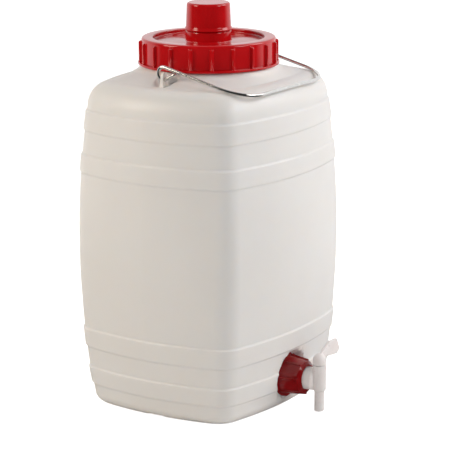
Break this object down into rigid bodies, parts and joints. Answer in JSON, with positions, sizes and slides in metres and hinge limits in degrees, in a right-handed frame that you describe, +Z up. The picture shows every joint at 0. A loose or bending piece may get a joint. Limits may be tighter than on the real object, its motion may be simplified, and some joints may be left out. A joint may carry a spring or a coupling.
{
  "type": "drinks barrel with spigot",
  "caption": "Rectangular hooped plastic drinks barrel with a wide red screw lid and small cap, a folding wire bail and a lever tap held by a red union nut.",
  "frame": {"origin": "middle of the base, in the plane that the barrel stands on", "axes": "+Z up through the lid, -Y towards the spigot, X across the barrel through the bail's two lugs"},
  "size_m": [0.2542, 0.2544, 0.42],
  "materials": {
    "natural_hdpe": "satin, milky translucent natural polyethylene",
    "red_plastic": "glossy",
    "dark_red_plastic": "glossy",
    "steel_wire": "bright zinc-plated",
    "tap_white": "satin natural polyethylene",
    "seal": "matte white elastomer"
  },
  "bodies": {
    "barrel": {"barrel": "natural_hdpe", "union_nut": "dark_red_plastic", "tap_gasket": "seal", "tap_body": "tap_white"},
    "lid_seal": {"lid_seal": "seal"},
    "lid": {"lid": "red_plastic"},
    "cap_seal": {"cap_seal": "seal"},
    "cap": {"cap": "red_plastic"},
    "bail": {"bail": "steel_wire"},
    "tap_plug": {"tap_plug": "tap_white"}
  },
  "joints": [
    {"name": "bail_swing", "type": "hinge", "parent": "barrel", "child": "bail", "pos_m": [0, 0, 0.3566], "axis": [-1, 0, 0], "range_deg": [0, 192]},
    {"name": "lid_rise", "type": "slide", "parent": "barrel", "child": "lid_seal", "axis": [0, 0, 1], "range_m": [0, 0.048]},
    {"name": "lid_unscrew", "type": "hinge", "parent": "lid_seal", "child": "lid", "pos_m": [0, 0, 0.37], "axis": [0, 0, 1], "range_deg": [0, 1080]},
    {"name": "cap_rise", "type": "slide", "parent": "lid", "child": "cap_seal", "axis": [0, 0, 1], "range_m": [0, 0.027]},
    {"name": "cap_unscrew", "type": "hinge", "parent": "cap_seal", "child": "cap", "pos_m": [0, 0, 0.405], "axis": [0, 0, 1], "range_deg": [0, 1080]},
    {"name": "tap_turn", "type": "hinge", "parent": "barrel", "child": "tap_plug", "pos_m": [0, -0.13519, 0.045], "axis": [0, 0, -1], "range_deg": [0, 90]}
  ],
  "couplings": [
    {"joint": "lid_rise", "follows": "lid_unscrew", "m_per_rad": 0.0025465},
    {"joint": "cap_rise", "follows": "cap_unscrew", "m_per_rad": 0.0014324}
  ]
}
